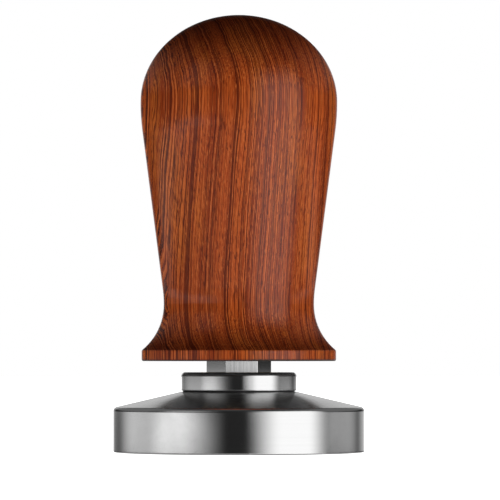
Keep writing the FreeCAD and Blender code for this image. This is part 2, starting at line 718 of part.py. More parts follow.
def make_preload_lock_ring():
    """Slotted ring screwed down on the plug to keep its setting."""
    body = washer("preload_lock_ring", LOCK_RING_LEVEL, "lock_ring_hole / 2", NUT_RADIUS, "lock_ring_length")
    slot = new_sketch(body, "slot", "XY_Plane", "lock_ring_length")
    draw_centred_slot(slot, f"4 * {NUT_RADIUS}", "lock_ring_slot")
    pocket(body, slot, "lock_ring_slot_depth", upwards=False)
    return body


def draw_centred_slot(sketch, length, width):
    """A rectangle centred on the sketch's origin."""
    half_length = value(length) / 2
    half_width = value(width) / 2
    corners = [
        FreeCAD.Vector(-half_length, -half_width, 0), FreeCAD.Vector(half_length, -half_width, 0),
        FreeCAD.Vector(half_length, half_width, 0), FreeCAD.Vector(-half_length, half_width, 0),
    ]
    sides = []
    for start, end in zip(corners, corners[1:] + corners[:1]):
        sides.append(sketch.addGeometry(Part.LineSegment(start, end), False))
    for side, following in zip(sides, sides[1:] + sides[:1]):
        constrain(sketch, "Coincident", side, 2, following, 1)
    lower, right, upper, left = sides
    constrain(sketch, "Horizontal", lower)
    constrain(sketch, "Horizontal", upper)
    constrain(sketch, "Vertical", right)
    constrain(sketch, "Vertical", left)
    constrain(sketch, "Symmetric", lower, 1, upper, 1, -1, 1)
    constrain(sketch, "DistanceX", lower, 1, lower, 2, formula=length)
    constrain(sketch, "DistanceY", right, 1, right, 2, formula=width)


def make_housing_screw(number):
    """Countersunk wood screw, head down and flush with the housing's flange."""
    body = new_body(f"housing_screw_{number}", HANDLE_LEVEL)
    angle = 360 / SCREW_COUNT * (number - 1)
    bind(body, "Placement.Base.x", f"{SCREW_CIRCLE} * cos({angle} deg)")
    bind(body, "Placement.Base.y", f"{SCREW_CIRCLE} * sin({angle} deg)")
    turn(body, "blank", [
        ("0", "0"),
        ("screw_head / 2", "0"),
        ("screw_thread / 2", "(screw_head - screw_thread) / 2"),
        ("screw_thread / 2", "screw_length - screw_point"),
        ("0", "screw_length"),
    ])
    slot = new_sketch(body, "recess", "XY_Plane")
    draw_centred_slot(slot, "screw_slot_length", "screw_slot_width")
    recess = pocket(body, slot, "screw_slot_depth", upwards=True)
    repeat_round(body, recess, count=2, angle=90)
    return body


# ---------------------------------------------------------------- build, check and write
pieces = [
    make_base(), make_collar_gasket(), make_collar(), make_stem(), make_stop_washer(), make_lock_washer(),
    make_stop_screw(), make_spring(), make_handle(), make_spring_housing(), make_guide_nut(),
    make_bumper_ring(), make_spring_seat(), make_preload_plug(), make_preload_lock_ring(),
]
pieces += [make_housing_screw(number) for number in range(1, SCREW_COUNT + 1)]
doc.recompute()

for item in doc.Objects:
    if "Invalid" in item.State or "Error" in item.State:
        raise RuntimeError(f"{item.Name} failed: {item.State}")
for piece in pieces:
    if piece.Shape.isNull() or not piece.Shape.isValid() or len(piece.Shape.Solids) != 1:
        raise RuntimeError(f"{piece.Label} is not one valid solid")

os.makedirs("parts", exist_ok=True)
for piece in pieces:
    piece.Shape.exportStep(os.path.join("parts", f"{piece.Label}.step"))
    box = piece.Shape.BoundBox
    print(f"{piece.Label:18} {piece.Shape.Volume:10.1f} mm3   z {box.ZMin:7.2f} to {box.ZMax:7.2f}")
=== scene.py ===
# %% [markdown]
# # Espresso tamper
# A spring-loaded tamper: a polished steel foot with a collar and a hexagonal stem, and a rosewood handle
# that slides down the stem against a spring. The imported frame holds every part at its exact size. This
# lesson adds the light, the finish of each part, and the one piece whose shape goes beyond what the frame
# holds, which is the wound spring.

# %% Load the frame
import math

import bmesh
import bpy
from mathutils import Matrix, Vector


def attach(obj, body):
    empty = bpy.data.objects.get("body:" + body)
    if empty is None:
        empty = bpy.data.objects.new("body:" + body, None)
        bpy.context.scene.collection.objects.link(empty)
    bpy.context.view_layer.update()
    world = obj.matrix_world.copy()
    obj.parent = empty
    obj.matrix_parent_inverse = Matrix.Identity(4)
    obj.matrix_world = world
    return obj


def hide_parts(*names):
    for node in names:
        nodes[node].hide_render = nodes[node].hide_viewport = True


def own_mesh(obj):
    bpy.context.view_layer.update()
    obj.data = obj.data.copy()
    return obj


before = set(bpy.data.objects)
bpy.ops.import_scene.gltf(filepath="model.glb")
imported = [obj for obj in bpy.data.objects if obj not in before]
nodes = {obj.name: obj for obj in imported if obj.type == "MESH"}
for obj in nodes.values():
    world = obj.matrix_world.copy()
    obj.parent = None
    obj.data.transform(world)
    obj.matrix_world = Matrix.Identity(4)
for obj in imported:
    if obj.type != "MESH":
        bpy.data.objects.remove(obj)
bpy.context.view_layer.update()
MM = 0.001
print("parts in the frame:", len(nodes))

# %% [markdown]
# ## Camera
# A long lens from nearly a metre away keeps the tamper's sides straight. The eye is only a little above the
# bench, so the lower edge of the foot sags slightly and the underside of the handle stays hidden.

# %% Camera
CAMERA_DISTANCE = 0.9
EYE_HEIGHT = 22.5 * MM
CAMERA_TURN = math.radians(-5.0)
LENS = 280.4
AIM_HEIGHT = 46.7 * MM
AIM_ASIDE = 2.57 * MM

towards_camera = Vector((math.sin(CAMERA_TURN), -math.cos(CAMERA_TURN), 0))
image_right = Vector((math.cos(CAMERA_TURN), math.sin(CAMERA_TURN), 0))
camera_data = bpy.data.cameras.new("camera")
camera_data.lens = LENS
camera_data.clip_start = 0.01
camera_data.clip_end = 20
camera = bpy.data.objects.new("camera", camera_data)
bpy.context.scene.collection.objects.link(camera)
camera.location = towards_camera * CAMERA_DISTANCE + Vector((0, 0, EYE_HEIGHT))
aim = image_right * AIM_ASIDE + Vector((0, 0, AIM_HEIGHT))
camera.rotation_mode = "QUATERNION"
camera.rotation_quaternion = (aim - camera.location).to_track_quat("-Z", "Y")
bpy.context.scene.camera = camera
bpy.context.scene.view_settings.view_transform = "Standard"
print("camera at", [round(c, 4) for c in camera.location])

# %% [markdown]
# ## Helpers for node trees
# A node tree written out one call at a time hides what it does. These helpers let a formula read like a
# formula. The first adds a node with its inputs by name or by number, and the next two do arithmetic.


# %% Nodes and arithmetic
def add_node(tree, kind, settings=None, **inputs):
    """Add a node, set its properties, and set or link its inputs, which are named or numbered i0, i1, ..."""
    node = tree.nodes.new(kind)
    for key, setting in (settings or {}).items():
        setattr(node, key, setting)
    for key, source in inputs.items():
        numbered = key[0] == "i" and key[1:].isdigit()
        socket = node.inputs[int(key[1:])] if numbered else node.inputs[key.replace("_", " ")]
        if isinstance(source, bpy.types.NodeSocket):
            tree.links.new(source, socket)
        else:
            socket.default_value = source
    return node


def maths(tree, operation, *values):
    """The result of a Math node."""
    inputs = {f"i{index}": value for index, value in enumerate(values)}
    return add_node(tree, "ShaderNodeMath", {"operation": operation}, **inputs).outputs[0]


def vectors(tree, operation, *values, output=0):
    """The result of a Vector Math node; output 1 is its number, such as a length."""
    inputs = {f"i{index}": value for index, value in enumerate(values)}
    return add_node(tree, "ShaderNodeVectorMath", {"operation": operation}, **inputs).outputs[output]


def add_up(tree, values):
    """The sum of several values."""
    total = values[0]
    for value in values[1:]:
        total = maths(tree, "ADD", total, value)
    return total


# %% [markdown]
# Nearly every mask is noise that is cut off softly, so noise and a soft step from low to high come next, and
# then the blend of two colours that a mask is made for.


# %% Noise, soft steps and blends
def soft_step(tree, value, start, end, low=0.0, high=1.0):
    """A soft change from low to high as the value goes from start to end."""
    node = add_node(tree, "ShaderNodeMapRange", {"interpolation_type": "SMOOTHSTEP"},
                    i0=value, i1=start, i2=end, i3=low, i4=high)
    return node.outputs[0]


def noise(tree, place, stretch=(1, 1, 1), detail=2.0, roughness=0.5, output=0):
    """Noise whose lumps are one unit across, after the place is multiplied by stretch."""
    scaled = vectors(tree, "MULTIPLY", place, stretch)
    node = add_node(tree, "ShaderNodeTexNoise", Vector=scaled, Scale=1.0, Detail=detail, Roughness=roughness)
    return node.outputs[output]


def noise_along(tree, distance, scale, detail=2.0, roughness=0.5):
    """Noise along one line, for layers and turned grooves."""
    node = add_node(tree, "ShaderNodeTexNoise", {"noise_dimensions": "1D"},
                    W=distance, Scale=scale, Detail=detail, Roughness=roughness)
    return node.outputs[0]


def blend_colours(tree, amount, first, second):
    """The first colour turning into the second as the amount goes from 0 to 1."""
    return add_node(tree, "ShaderNodeMix", {"data_type": "RGBA"}, i0=amount, i6=first, i7=second).outputs[2]


# %% [markdown]
# ## Studio
# Polished steel shows the room more than itself, so the room is designed first. A tall soft key panel stands
# on the right and a bright backdrop behind. Straight in front it stays dark, and that gap draws the black
# line down the middle of the foot. Panels could be glowing planes, but a world shader gives each one a soft
# edge and costs no noise.

# %% Panels of the studio
# Each panel has a brightness, then four angles round from the camera, to the right positive: where it begins
# to glow, where it is full, where it is still full and where it has faded. Four angles above the horizon say
# the same of its height. The last two panels go all the way round.
ALL_ROUND = (-200, -190, 190, 200)
PANELS = {
    "key": (1.58, (5, 40, 66, 92), (-50, -28, 14, 50)),
    "fill_high": (0.38, (-92, -66, -56, -14), (10, 22, 40, 58)),
    "side_left": (0.16, (-172, -146, -100, -76), (6, 14, 40, 66)),
    "side_right": (0.16, (76, 100, 146, 172), (6, 14, 40, 66)),
    "backdrop_right": (0.64, (154, 176, 190, 200), (-50, -28, 14, 34)),
    "backdrop_left": (0.64, (-200, -190, -176, -154), (-50, -28, 14, 34)),
    "ceiling": (0.04, ALL_ROUND, (34, 60, 100, 110)),
    "bench_glow": (0.40, ALL_ROUND, (-100, -95, -16, -7)),
}
AMBIENT = 0.026
print("panels:", ", ".join(PANELS))

# %% [markdown]
# A panel is the product of two windows, one round and one up. The angle round is measured from the camera's
# side of the tamper, so the direction is first turned until the camera stands at zero.


# %% Windows of light
def window(tree, value, angles):
    """One between the two middle angles, fading to nothing at the outer two."""
    fade_in, full_from, full_to, fade_out = angles
    return maths(tree, "MULTIPLY", soft_step(tree, value, fade_in, full_from),
                 soft_step(tree, value, full_to, fade_out, 1, 0))


def round_from_camera(tree, place):
    """The angle round from the camera in degrees, and the upright part of the place."""
    turn = (0, 0, math.radians(90) - CAMERA_TURN)
    turned = add_node(tree, "ShaderNodeMapping", Vector=place, Rotation=turn)
    parts = add_node(tree, "ShaderNodeSeparateXYZ", Vector=turned.outputs[0])
    angle = maths(tree, "ARCTAN2", parts.outputs["Y"], parts.outputs["X"])
    return maths(tree, "DEGREES", angle), parts.outputs["Z"]


# %% [markdown]
# The world adds the panels up. The camera itself sees plain white, as a bright paper backdrop would give.

# %% World
world = bpy.data.worlds.new("studio")
bpy.context.scene.world = world
world.use_nodes = True
tree = world.node_tree
tree.nodes.clear()
direction = add_node(tree, "ShaderNodeTexCoord").outputs["Generated"]
azimuth, upright = round_from_camera(tree, direction)
elevation = maths(tree, "DEGREES", maths(tree, "ARCSINE", upright))
rays = add_node(tree, "ShaderNodeLightPath")
glows = [AMBIENT]
for brightness, round_angles, height_angles in PANELS.values():
    across = window(tree, azimuth, round_angles)
    panel = maths(tree, "MULTIPLY", across, window(tree, elevation, height_angles))
    glows.append(maths(tree, "MULTIPLY", panel, brightness))
glow = add_up(tree, glows)
strength = add_node(tree, "ShaderNodeMix", {"data_type": "FLOAT"},
                    i0=rays.outputs["Is Camera Ray"], i2=glow, i3=1.0).outputs[0]
sky = add_node(tree, "ShaderNodeBackground", Color=(1, 1, 1, 1), Strength=strength)
add_node(tree, "ShaderNodeOutputWorld", Surface=sky.outputs[0])
print("world:", world.name, "with", len(tree.nodes), "nodes")

# %% [markdown]
# ## Low cards
# Low cards stand round the bench, no taller than the collar. The foot mirrors them, which gives its wall the
# grey and white flanks, while the handle looks over them and stays free of glare. Twelve planes would meet
# in hard edges, so they are one strip, spun round the axis, that glows by direction and is otherwise clear.

# %% Low cards
CARD_DISTANCE = 600 * MM
RIM, COLLAR, STEM = (-20, -19, 4, 7), (4, 7, 14, 16), (14, 16, 22, 26)
# name: brightness, the same four angles round as for a panel, and four heights in millimetres
CARDS = {
    "fill": (1.50, (-92, -66, -56, -9), RIM),
    "left_wall": (0.88, (-146, -108, -92, -64), RIM),
    "left_end": (0.16, (-190, -165, -150, -130), RIM),
    "right_wall": (0.50, (70, 94, 116, 148), RIM),
    "right_end": (0.45, (134, 152, 170, 180), RIM),
    "collar_fill": (1.40, (-88, -64, -60, -20), COLLAR),
    "collar_left": (0.62, (-176, -108, -92, -64), COLLAR),
    "collar_end": (0.40, (-190, -180, -160, -140), COLLAR),
    "collar_right": (0.48, (74, 94, 112, 148), COLLAR),
    "collar_right_end": (0.36, (134, 152, 170, 180), COLLAR),
    "stem_front": (0.95, (6, 11, 20, 26), STEM),
    "stem_left": (0.13, (-140, -125, -90, -70), STEM),
}
print("low cards:", ", ".join(CARDS))

# %% [markdown]
# The strip is one upright edge, spun a full turn. The helper that makes an object of a bmesh serves the
# floor and the spring too.


# %% Strip of cards
def mesh_object(name, bm):
    """An object made of a bmesh, at the origin."""
    mesh = bpy.data.meshes.new(name)
    bm.to_mesh(mesh)
    bm.free()
    piece = bpy.data.objects.new(name, mesh)
    bpy.context.scene.collection.objects.link(piece)
    return piece


STRIP_STEPS = 72
bm = bmesh.new()
ends = [bm.verts.new((CARD_DISTANCE, 0, height * MM)) for height in (RIM[0], STEM[3])]
strip_edge = bm.edges.new(ends)
bmesh.ops.spin(bm, geom=ends + [strip_edge], cent=(0, 0, 0), axis=(0, 0, 1), dvec=(0, 0, 0),
               angle=math.tau, steps=STRIP_STEPS, use_merge=True)
cards = mesh_object("low_cards", bm)
cards.visible_camera = False
cards.visible_diffuse = False
cards.visible_shadow = False
print("strip of", len(cards.data.polygons), "faces")

# %% [markdown]
# The strip's material glows where a card stands. A transparent shader is added to it, so that the room
# shows through everywhere else.

# %% Glow of the cards
card_glow = bpy.data.materials.new("card_glow")
card_glow.use_nodes = True
tree = card_glow.node_tree
tree.nodes.clear()
place = add_node(tree, "ShaderNodeTexCoord").outputs["Object"]
azimuth, upright = round_from_camera(tree, place)
height = maths(tree, "MULTIPLY", upright, 1 / MM)
strips = []
for brightness, angles, heights in CARDS.values():
    strip = maths(tree, "MULTIPLY", window(tree, azimuth, angles), window(tree, height, heights))
    strips.append(maths(tree, "MULTIPLY", strip, brightness))
glow = add_node(tree, "ShaderNodeEmission", Strength=add_up(tree, strips))
clear = add_node(tree, "ShaderNodeBsdfTransparent")
both = add_node(tree, "ShaderNodeAddShader", i0=glow.outputs[0], i1=clear.outputs[0])
add_node(tree, "ShaderNodeOutputMaterial", Surface=both.outputs[0])
cards.data.materials.append(card_glow)
print("card glow:", len(tree.nodes), "nodes")

# %% [markdown]
# ## Soft lamps
# Lacquered wood would mirror every lamp, so the two lamps that lift its shaded side are soft and make no
# highlights: glossy rays don't see them.

# %% Soft lamps
# name: watts, degrees round from the camera, distance, height, width and height of the lamp
LAMPS = {
    "lift_left": (0.7, -75, 1.0, 0.10, 1.0, 0.3),
    "lift_right": (3.2, 35, 1.0, 0.10, 0.8, 0.3),
}
LAMP_AIM = Vector((0, 0, 55 * MM))
for name, (watts, turn, away, up, width, height) in LAMPS.items():
    lamp = bpy.data.lights.new(name, "AREA")
    lamp.shape = "RECTANGLE"
    lamp.size = width
    lamp.size_y = height
    lamp.energy = watts
    holder = bpy.data.objects.new(name, lamp)
    bpy.context.scene.collection.objects.link(holder)
    side = towards_camera * math.cos(math.radians(turn)) + image_right * math.sin(math.radians(turn))
    holder.location = side * away + Vector((0, 0, up))
    holder.rotation_mode = "QUATERNION"
    holder.rotation_quaternion = (LAMP_AIM - holder.location).to_track_quat("-Z", "Y")
    holder.visible_camera = False
    holder.visible_glossy = False
print("lamps:", ", ".join(LAMPS))

# %% [markdown]
# ## Floor
# The bench is a plain pale sheet. It glows a little, so that its far edge melts into the backdrop, and it is
# hidden from mirror reflections, because the foot's wall should show the studio and not the bench.

# %% Floor
FLOOR_SIZE = 6.0
bm = bmesh.new()
bmesh.ops.create_grid(bm, x_segments=1, y_segments=1, size=FLOOR_SIZE / 2)
floor = mesh_object("floor", bm)
pale_sheet = bpy.data.materials.new("pale_sheet")
pale_sheet.use_nodes = True
shader = pale_sheet.node_tree.nodes["Principled BSDF"]
shader.inputs["Base Color"].default_value = (0.9, 0.9, 0.9, 1)
shader.inputs["Roughness"].default_value = 0.9
shader.inputs["Specular IOR Level"].default_value = 0
shader.inputs["Emission Color"].default_value = (1, 1, 1, 1)
shader.inputs["Emission Strength"].default_value = 1.5
floor.data.materials.append(pale_sheet)
floor.visible_glossy = False
print("floor:", FLOOR_SIZE, "m square")

# %% [markdown]
# ## Shared effects
# Some effects appear in many finishes: the fine grooves that a lathe tool leaves, the smears and hair
# scratches of handling, and the dulling of rubbed edges. Each is a node group, built once, with named
# sockets, and every finish gives it its own values. A group only puts out values. The shader stays in the
# finish.


# %% A helper for node groups
def new_group(name, inputs, outputs):
    """An empty node group; returns the group, its inputs by name, and a function that sets an output."""
    group = bpy.data.node_groups.new(name, "ShaderNodeTree")
    for title, kind, start in inputs:
        socket = group.interface.new_socket(name=title, in_out="INPUT", socket_type=kind)
        if start is not None:
            socket.default_value = start
    for title, kind in outputs:
        group.interface.new_socket(name=title, in_out="OUTPUT", socket_type=kind)
    entry = group.nodes.new("NodeGroupInput")
    leave = group.nodes.new("NodeGroupOutput")

    def put_out(title, socket):
        group.links.new(socket, leave.inputs[title])

    return group, entry.outputs, put_out


# %% [markdown]
# ## Turning marks
# A lathe tool leaves one fine spiral groove. Rings cut in the mesh would need millions of faces, so the
# grooves are noise along a line: on a wall they are spaced by height, on a face by radius, and on a cone by
# both, so radius and height are added. The group gives the grooves' height, for the bump, and broader
# rings of pale and dark, for the colour.

# %% Turning marks
FLOAT, VECTOR = "NodeSocketFloat", "NodeSocketVector"
RING_SHARE = 0.21
turning_marks, given, put_out = new_group(
    "turning_marks",
    [("Place", VECTOR, None), ("Grooves per mm", FLOAT, 6.0), ("Waver", FLOAT, 0.15)],
    [("Height", FLOAT), ("Shade", FLOAT)],
)
parts = add_node(turning_marks, "ShaderNodeSeparateXYZ", Vector=given["Place"])
flat = add_node(turning_marks, "ShaderNodeCombineXYZ", X=parts.outputs["X"], Y=parts.outputs["Y"])
radius = vectors(turning_marks, "LENGTH", flat.outputs[0], output=1)
path = maths(turning_marks, "ADD", radius, parts.outputs["Z"])
drift = noise(turning_marks, given["Place"], (0.12, 0.12, 0.12), detail=1)
path = maths(turning_marks, "ADD", path, maths(turning_marks, "MULTIPLY", drift, given["Waver"]))
path = maths(turning_marks, "MULTIPLY", path, given["Grooves per mm"])
put_out("Height", noise_along(turning_marks, path, 1.0, detail=2, roughness=0.6))
put_out("Shade", noise_along(turning_marks, path, RING_SHARE, detail=3, roughness=0.6))
print("turning marks:", len(turning_marks.nodes), "nodes")

# %% [markdown]
# ## Handling marks
# Smears are broad and soft, where fingers touched, and come from one soft noise. Hair scratches are thin
# bent lines: where a stretched noise passes its middle value there is always a thin line. Two such noises
# lean two ways, and a patchy mask leaves most of the surface clean.

# %% Handling marks
handling_marks, given, put_out = new_group(
    "handling_marks",
    [("Place", VECTOR, None), ("Smear size mm", FLOAT, 12.0), ("Scratches per mm", FLOAT, 0.5)],
    [("Smears", FLOAT), ("Scratches", FLOAT)],
)
HAIR_WIDTH = 0.008
# how far each family of scratches is turned, and how its noise is stretched
SCRATCH_FAMILIES = ((0.6, (1, 0.05, 0.35)), (-0.9, (0.06, 1, 0.3)))


def scaled_place(tree, factor):
    """The group's place, multiplied by one of its own inputs."""
    node = add_node(tree, "ShaderNodeVectorMath", {"operation": "SCALE"}, i0=given["Place"], Scale=factor)
    return node.outputs[0]


spread = maths(handling_marks, "DIVIDE", 1.0, given["Smear size mm"])
smears = add_node(handling_marks, "ShaderNodeTexNoise", Vector=scaled_place(handling_marks, spread),
                  Scale=1.0, Detail=4.0, Roughness=0.6, Distortion=0.8)
put_out("Smears", soft_step(handling_marks, smears.outputs[0], 0.38, 0.68))
scratch_place = scaled_place(handling_marks, given["Scratches per mm"])
lines = []
for turn, stretch in SCRATCH_FAMILIES:
    tilted = add_node(handling_marks, "ShaderNodeVectorRotate", {"rotation_type": "EULER_XYZ"},
                      Vector=scratch_place, Rotation=(turn, turn * 0.5, turn))
    hair = noise(handling_marks, tilted.outputs[0], stretch, detail=1)
    off = maths(handling_marks, "ABSOLUTE", maths(handling_marks, "SUBTRACT", hair, 0.5))
    lines.append(soft_step(handling_marks, off, 0.0, HAIR_WIDTH, 1, 0))
patches = noise(handling_marks, scratch_place, (0.6, 0.6, 0.6), detail=1)
patchy = soft_step(handling_marks, patches, 0.5, 0.62)
put_out("Scratches", maths(handling_marks, "MULTIPLY", maths(handling_marks, "MAXIMUM", *lines), patchy))
print("handling marks:", len(handling_marks.nodes), "nodes")

# %% [markdown]
# ## Worn edges
# A rounded edge is rubbed more than a face. The Bevel node smooths the normal over a small distance, and
# where that smoothed normal differs from the true one there is an edge. That needs no extra faces and finds
# every edge by itself. Noise makes the wear patchy, as real wear is.

# %% Worn edges
worn_edges, given, put_out = new_group(
    "worn_edges",
    [("Reach", FLOAT, 0.6 * MM), ("Patchiness", FLOAT, 0.5), ("Place", VECTOR, None)],
    [("Edge", FLOAT)],
)
FLAT_LIKENESS, EDGE_LIKENESS = 0.995, 0.93
smoothed = worn_edges.nodes.new("ShaderNodeBevel")
smoothed.samples = 6
worn_edges.links.new(given["Reach"], smoothed.inputs["Radius"])
true_normal = add_node(worn_edges, "ShaderNodeNewGeometry").outputs["Normal"]
alike = vectors(worn_edges, "DOT_PRODUCT", smoothed.outputs[0], true_normal, output=1)
edge = soft_step(worn_edges, alike, FLAT_LIKENESS, EDGE_LIKENESS)
rubbed = soft_step(worn_edges, noise(worn_edges, given["Place"], (0.7, 0.7, 0.7), detail=3), 0.3, 0.7)
rubbed = maths(worn_edges, "SUBTRACT", 1.0, maths(worn_edges, "MULTIPLY", rubbed, given["Patchiness"]))
put_out("Edge", maths(worn_edges, "MULTIPLY", edge, rubbed))
print("groups:", [group.name for group in bpy.data.node_groups])

# %% [markdown]
# ## Helpers for finishes
# Every finish starts alike: a material whose constant values sit on the Principled shader itself, the
# object's own coordinates in millimetres, and the shared groups. It ends alike too, with a colour, a
# roughness and a bump linked to the shader. Patterns read the object's own coordinates, so they fill the
# part like real grain and stay put as it moves.


# %% Helpers for finishes
def new_finish(name, **constants):
    """A material with its Principled shader's own inputs set; returns it, its tree and its shader."""
    material = bpy.data.materials.new(name)
    material.use_nodes = True
    tree = material.node_tree
    shader = tree.nodes["Principled BSDF"]
    for key, value in constants.items():
        shader.inputs[key.replace("_", " ")].default_value = value
    return material, tree, shader


def place_in_mm(tree):
    """The object's own coordinates, in millimetres."""
    place = add_node(tree, "ShaderNodeTexCoord").outputs["Object"]
    return vectors(tree, "MULTIPLY", place, (1 / MM, 1 / MM, 1 / MM))


def use_group(tree, group, **values):
    """A node group placed in a finish; returns its outputs."""
    return add_node(tree, "ShaderNodeGroup", {"node_tree": group}, **values).outputs


def wire_up(tree, shader, colour, rough, height, depth, strength=1.0):
    """Link a colour, a roughness and a bump, whose depth is in metres, to a finish's shader."""
    tree.links.new(colour, shader.inputs["Base Color"])
    tree.links.new(rough, shader.inputs["Roughness"])
    bump = add_node(tree, "ShaderNodeBump", Height=height, Strength=strength, Distance=depth)
    tree.links.new(bump.outputs[0], shader.inputs["Normal"])


def share(tree, mask, part):
    """A part of a mask."""
    return maths(tree, "MULTIPLY", mask, part)


def facing_up(tree):
    """How far the surface faces up: 1 on a top, 0 on a wall and -1 underneath."""
    normal = add_node(tree, "ShaderNodeNewGeometry").outputs["Normal"]
    return add_node(tree, "ShaderNodeSeparateXYZ", Vector=normal).outputs["Z"]


# %% [markdown]
# ## Rosewood
# The handle is turned from one block with the grain running up it. The growth layers lie nearly flat and
# stand on edge towards the front, so they show as lines, and on the flanks, where the surface follows a
# layer, as ovals. A solid pattern read from the object's own coordinates does this by itself: the pattern
# fills the block, and the turned shape cuts through it. First comes the block: how it is turned, which
# stretch of the tree it is cut from, and how its grain wanders, at three sizes.

# %% The block
GRAIN_TURN = math.radians(165)
CUT_FROM = (0, 0, 217)
PITH = (-62, 14, 0)
# how many wanders there are per millimetre across and along the grain, and how far they reach
WANDERS = ((0.035, 0.006, 5.0), (0.22, 0.020, 0.9), (1.4, 0.10, 0.16))


def cut_block(tree, whole):
    """Where in the wandering grain of the block each point of the handle lies."""
    turned = add_node(tree, "ShaderNodeMapping", Vector=whole, Location=CUT_FROM, Rotation=(0, 0, GRAIN_TURN))
    place = turned.outputs[0]
    for across, along, reach in WANDERS:
        lumps = noise(tree, place, (across, across, along), detail=1, output=1)
        waver = vectors(tree, "SUBTRACT", lumps, (0.5, 0.5, 0.5))
        place = vectors(tree, "ADD", place, vectors(tree, "MULTIPLY", waver, (reach, reach, 0)))
    return place


print("pith", round(math.hypot(*PITH), 1), "mm from the handle's axis")

# %% [markdown]
# The marks are of two kinds. Layers follow the distance from the tree's pith, which lies far outside the
# handle: broad bands, and veins from bold to hair-thin. Fibres, short dark pores and golden patches fill the
# block, long and thin along the grain.

# %% Marks of the wood
# name: how many per millimetre, detail and roughness of the noise, and where its soft step starts and ends
LAYERS = {
    "bands": (0.33, 1, 0.5, 0.42, 0.62),
    "groups": (0.37, 1, 0.5, 0.40, 0.58),
    "dense_veins": (2.9, 1, 0.6, 0.56, 0.64),
    "hair_veins": (4.2, 0, 0.5, 0.58, 0.70),
    "bold_veins": (1.15, 0, 0.5, 0.68, 0.75),
}
# the same, with how many per millimetre across the grain and then along it
SPECKS = {
    "breaks": (0.5, 0.035, 2, 0.5, 0.36, 0.56),
    "pores": (3.2, 0.19, 1, 0.5, 0.60, 0.68),
    "patches": (0.14, 0.03, 2, 0.5, 0.47, 0.68),
}


def wood_marks(tree, place):
    """The masks of the marks by name, and the raw noises of the fine lines and of the fibres."""
    flat_place = vectors(tree, "MULTIPLY", place, (1, 1, 0))
    layer = vectors(tree, "DISTANCE", flat_place, PITH, output=1)
    marks = {}
    for name, (per_mm, detail, roughness, start, end) in LAYERS.items():
        marks[name] = soft_step(tree, noise_along(tree, layer, per_mm, detail, roughness), start, end)
    for name, (across, along, detail, roughness, start, end) in SPECKS.items():
        specks = noise(tree, place, (across, across, along), detail, roughness)
        marks[name] = soft_step(tree, specks, start, end)
    lines = noise_along(tree, layer, 4.4, detail=2, roughness=0.7)
    fibres = noise(tree, place, (4.0, 4.0, 0.16), detail=2, roughness=0.65)
    return marks, lines, fibres


print("marks:", ", ".join(LAYERS), "and", ", ".join(SPECKS))

# %% [markdown]
# The colour is laid on as a painter would, from the ground to the darkest mark, each mark through its mask.

# %% Colours of the wood
ORANGE = (0.305, 0.054, 0.0085, 1)
RED_BROWN = (0.165, 0.022, 0.0040, 1)
DARK_VEIN_AND_SHADE = (0.050, 0.0075, 0.0030, 1)
GOLD = (0.40, 0.105, 0.0130, 1)
PALE_FIBRE = (0.60, 0.160, 0.0380, 1)


def wood_colour(tree, marks, lines, fibres):
    """The colour of clean, planed wood."""
    colour = blend_colours(tree, share(tree, marks["bands"], 0.85), ORANGE, RED_BROWN)
    veins = maths(tree, "MULTIPLY", marks["breaks"], marks["groups"])
    for amount, shade in (
        (share(tree, marks["patches"], 0.45), GOLD),
        (soft_step(tree, lines, 0.52, 0.68, high=0.42), PALE_FIBRE),
        (soft_step(tree, lines, 0.50, 0.34, high=0.95), RED_BROWN),
        (soft_step(tree, fibres, 0.52, 0.70, high=0.35), PALE_FIBRE),
        (soft_step(tree, fibres, 0.50, 0.32, high=0.55), RED_BROWN),
        (share(tree, marks["hair_veins"], 0.80), DARK_VEIN_AND_SHADE),
        (maths(tree, "MULTIPLY", marks["dense_veins"], share(tree, veins, 0.95)), DARK_VEIN_AND_SHADE),
        (share(tree, marks["bold_veins"], 0.65), DARK_VEIN_AND_SHADE),
        (share(tree, marks["pores"], 0.65), DARK_VEIN_AND_SHADE),
    ):
        colour = blend_colours(tree, amount, colour, shade)
    return colour


print("ground of the wood:", ORANGE[:3])

# %% [markdown]
# The finish adds what happened to the wood, and painted shade. Cut across its fibres, on the dome and the
# flare, it drinks more stain and turns darker; that darkening of faces that turn up or down is also painted
# shade, as little light falls on them. It drinks the lacquer too, so little gloss is left there. A dark line
# along the lower edge is painted shade, the underside is painted dark as shade, and the bump sinks the pores.

# %% Rosewood
END_GRAIN_STAIN_AND_SHADE = (0.34, 0.31, 0.40, 1)
UNDERSIDE_SHADE = (0.040, 0.030, 0.025, 1)
EDGE_SHADE_TOP, LOWER_EDGE = 21.8, 21.15
FULL_LACQUER, THIN_LACQUER = 0.55, 0.05


